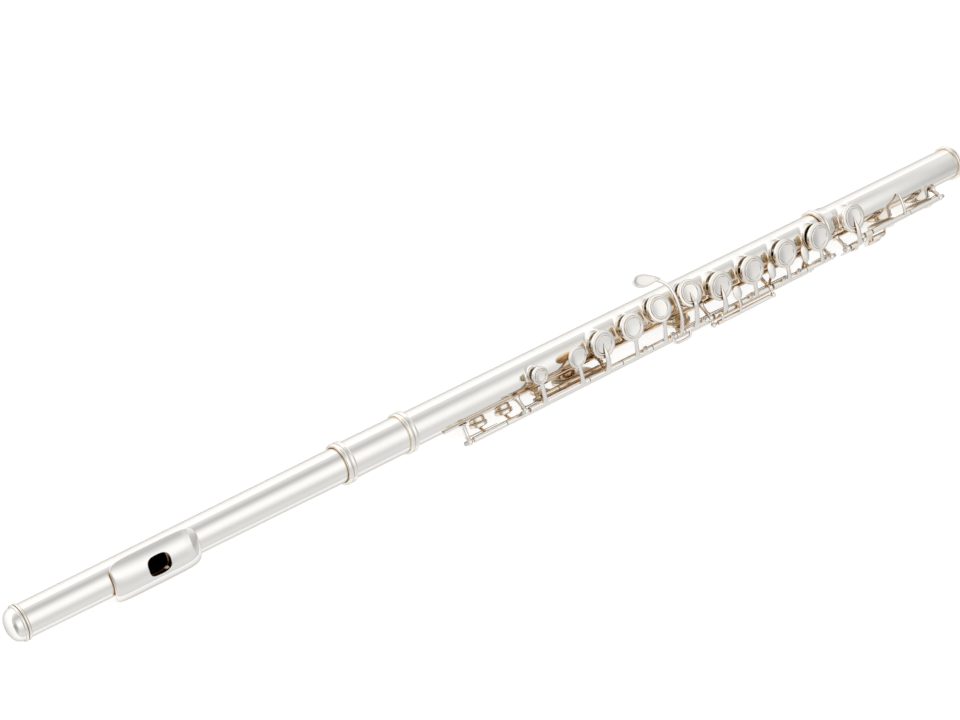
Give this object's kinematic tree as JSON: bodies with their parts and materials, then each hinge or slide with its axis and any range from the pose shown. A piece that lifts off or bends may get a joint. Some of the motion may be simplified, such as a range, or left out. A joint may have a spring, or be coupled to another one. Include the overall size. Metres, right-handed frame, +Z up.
{
  "type": "concert flute",
  "caption": "Straight metal concert flute with head joint and lip plate, body with domed keys on side rods, and a short foot joint with rollers, for playing melodies.",
  "frame": {"origin": "under the middle of the flute, on the surface that it lies on", "axes": "+X along the bore from the crown to the foot end, +Z up over the key cups, -Y towards the key rods"},
  "size_m": [0.681, 0.05, 0.0317],
  "materials": {
    "silver_plate": "polished silver plate",
    "steel": "ground steel rod",
    "pad_skin": "thin translucent skin over felt",
    "cork": "natural cork"
  },
  "bodies": {
    "body": {"body_tube": "silver_plate", "barrel": "silver_plate", "upper_rib": "silver_plate", "lower_rib": "silver_plate", "thumb_post_upper": "silver_plate", "thumb_post_lower": "silver_plate", "left_hand_steel": "steel", "right_hand_steel": "steel", "thumb_steel": "steel", "side_lever_steel": "steel"},
    "head": {"head_tube": "silver_plate", "lip_plate": "silver_plate", "embouchure_riser": "silver_plate", "cork_stopper": "cork", "stopper_screw": "steel"},
    "crown": {"crown": "silver_plate"},
    "foot": {"foot_tube": "silver_plate", "foot_rib": "silver_plate", "foot_end_post": "silver_plate", "foot_d_sharp_steel": "steel"},
    "c_key": {"c_key": "silver_plate", "c_pad": "pad_skin"},
    "b_flat_key": {"b_flat_key": "silver_plate", "b_flat_pad": "pad_skin"},
    "a_key": {"a_key": "silver_plate", "a_pad": "pad_skin"},
    "g_key": {"g_key": "silver_plate", "g_upper_pad": "pad_skin", "g_lower_pad": "pad_skin"},
    "g_sharp_key": {"g_sharp_key": "silver_plate", "g_sharp_pad": "pad_skin"},
    "f_sharp_key": {"f_sharp_key": "silver_plate", "f_sharp_pad": "pad_skin"},
    "f_key": {"f_key": "silver_plate", "f_pad": "pad_skin"},
    "e_key": {"e_key": "silver_plate", "e_pad": "pad_skin"},
    "d_key": {"d_key": "silver_plate", "d_pad": "pad_skin"},
    "d_trill_key": {"d_trill_key": "silver_plate", "d_trill_pad": "pad_skin"},
    "d_sharp_trill_key": {"d_sharp_trill_key": "silver_plate", "d_sharp_trill_pad": "pad_skin"},
    "b_flat_side_lever": {"b_flat_side_lever": "silver_plate"},
    "thumb_b_key": {"thumb_b_key": "silver_plate", "thumb_b_pad": "pad_skin"},
    "thumb_b_flat_lever": {"thumb_b_flat_lever": "silver_plate"},
    "foot_d_sharp_key": {"foot_d_sharp_key": "silver_plate", "foot_d_sharp_pad": "pad_skin"},
    "foot_c_sharp_key": {"foot_c_sharp_key": "silver_plate", "foot_c_sharp_pad": "pad_skin"},
    "foot_c_key": {"foot_c_key": "silver_plate", "foot_c_pad": "pad_skin"},
    "foot_c_sharp_roller": {"foot_c_sharp_roller": "silver_plate"},
    "foot_c_roller": {"foot_c_roller": "silver_plate"}
  },
  "joints": [
    {"name": "head_tuning_slide", "type": "slide", "parent": "body", "child": "head", "axis": [-1, 0, 0], "range_m": [0, 0.012]},
    {"name": "crown_turn", "type": "hinge", "parent": "head", "child": "crown", "pos_m": [-0.3355, -0.00091, 0.0119], "axis": [1, 0, 0], "continuous": true},
    {"name": "foot_turn", "type": "hinge", "parent": "body", "child": "foot", "pos_m": [0.2195, -0.00091, 0.0119], "axis": [1, 0, 0], "range_deg": [-20, 20]},
    {"name": "c_key_press", "type": "hinge", "parent": "body", "child": "c_key", "pos_m": [-0.0035, -0.01756, 0.0244], "axis": [1, 0, 0], "range_deg": [-7.5, 0], "stiffness_Nm_per_rad": 0.014, "springref_deg": 20.05},
    {"name": "b_flat_key_press", "type": "hinge", "parent": "body", "child": "b_flat_key", "pos_m": [0.0295, -0.01756, 0.0244], "axis": [1, 0, 0], "range_deg": [-7.5, 0], "stiffness_Nm_per_rad": 0.014, "springref_deg": 20.05},
    {"name": "a_key_press", "type": "hinge", "parent": "body", "child": "a_key", "pos_m": [0.0535, -0.01756, 0.0244], "axis": [1, 0, 0], "range_deg": [-7.5, 0], "stiffness_Nm_per_rad": 0.014, "springref_deg": 20.05},
    {"name": "g_key_press", "type": "hinge", "parent": "body", "child": "g_key", "pos_m": [0.0875, -0.01756, 0.0244], "axis": [1, 0, 0], "range_deg": [-7.5, 0], "stiffness_Nm_per_rad": 0.014, "springref_deg": 20.05},
    {"name": "g_sharp_key_press", "type": "hinge", "parent": "body", "child": "g_sharp_key", "pos_m": [0.0877, -0.01756, 0.0244], "axis": [1, 0, 0], "range_deg": [-7.4, 0], "stiffness_Nm_per_rad": 0.014, "springref_deg": 20.05},
    {"name": "f_sharp_key_press", "type": "hinge", "parent": "body", "child": "f_sharp_key", "pos_m": [0.1255, -0.01756, 0.0244], "axis": [1, 0, 0], "range_deg": [-7.5, 0], "stiffness_Nm_per_rad": 0.014, "springref_deg": 20.05},
    {"name": "f_key_press", "type": "hinge", "parent": "body", "child": "f_key", "pos_m": [0.1475, -0.01756, 0.0244], "axis": [1, 0, 0], "range_deg": [-7.5, 0], "stiffness_Nm_per_rad": 0.014, "springref_deg": 20.05},
    {"name": "e_key_press", "type": "hinge", "parent": "body", "child": "e_key", "pos_m": [0.1775, -0.01756, 0.0244], "axis": [1, 0, 0], "range_deg": [-7.5, 0], "stiffness_Nm_per_rad": 0.014, "springref_deg": 20.05},
    {"name": "d_key_press", "type": "hinge", "parent": "body", "child": "d_key", "pos_m": [0.2015, -0.01756, 0.0244], "axis": [1, 0, 0], "range_deg": [-7.5, 0], "stiffness_Nm_per_rad": 0.014, "springref_deg": 20.05},
    {"name": "d_trill_key_press", "type": "hinge", "parent": "body", "child": "d_trill_key", "pos_m": [0.0635, -0.01991, 0.0203], "axis": [1, 0, 0], "range_deg": [-12, 0], "stiffness_Nm_per_rad": 0.014, "springref_deg": 20.05},
    {"name": "d_sharp_trill_key_press", "type": "hinge", "parent": "body", "child": "d_sharp_trill_key", "pos_m": [0.0635, -0.01991, 0.0203], "axis": [1, 0, 0], "range_deg": [-12, 0], "stiffness_Nm_per_rad": 0.014, "springref_deg": 20.05},
    {"name": "b_flat_side_lever_press", "type": "hinge", "parent": "body", "child": "b_flat_side_lever", "pos_m": [0.133, -0.02211, 0.0253], "axis": [1, 0, 0], "range_deg": [-8, 0], "stiffness_Nm_per_rad": 0.014, "springref_deg": 20.05},
    {"name": "thumb_b_key_press", "type": "hinge", "parent": "body", "child": "thumb_b_key", "pos_m": [0.0155, -0.01621, 0.0178], "axis": [1, 0, 0], "range_deg": [0, 10], "stiffness_Nm_per_rad": 0.014, "springref_deg": -20.05},
    {"name": "thumb_b_flat_lever_press", "type": "hinge", "parent": "body", "child": "thumb_b_flat_lever", "pos_m": [-0.0055, -0.01621, 0.0178], "axis": [1, 0, 0], "range_deg": [0, 10], "stiffness_Nm_per_rad": 0.014, "springref_deg": -20.05},
    {"name": "foot_d_sharp_key_press", "type": "hinge", "parent": "foot", "child": "foot_d_sharp_key", "pos_m": [0.2345, -0.01756, 0.0244], "axis": [1, 0, 0], "range_deg": [0, 7.4], "stiffness_Nm_per_rad": 0.014, "springref_deg": -20.05},
    {"name": "foot_c_sharp_key_press", "type": "hinge", "parent": "foot", "child": "foot_c_sharp_key", "pos_m": [0.2675, -0.01541, 0.0234], "axis": [1, 0, 0], "range_deg": [0, 10], "stiffness_Nm_per_rad": 0.014, "springref_deg": -20.05},
    {"name": "foot_c_key_press", "type": "hinge", "parent": "foot", "child": "foot_c_key", "pos_m": [0.2775, -0.01541, 0.0234], "axis": [1, 0, 0], "range_deg": [0, 10], "stiffness_Nm_per_rad": 0.014, "springref_deg": -20.05},
    {"name": "foot_c_sharp_roller_spin", "type": "hinge", "parent": "foot_c_sharp_key", "child": "foot_c_sharp_roller", "pos_m": [0.2576, -0.02095, 0.02021], "axis": [1, 0, 0], "continuous": true},
    {"name": "foot_c_roller_spin", "type": "hinge", "parent": "foot_c_key", "child": "foot_c_roller", "pos_m": [0.2564, -0.02335, 0.01637], "axis": [1, 0, 0], "continuous": true}
  ],
  "couplings": [
    {"joint": "b_flat_key_press", "follows": "a_key_press", "ratio": 1},
    {"joint": "f_sharp_key_press", "follows": "f_key_press", "ratio": 1}
  ]
}
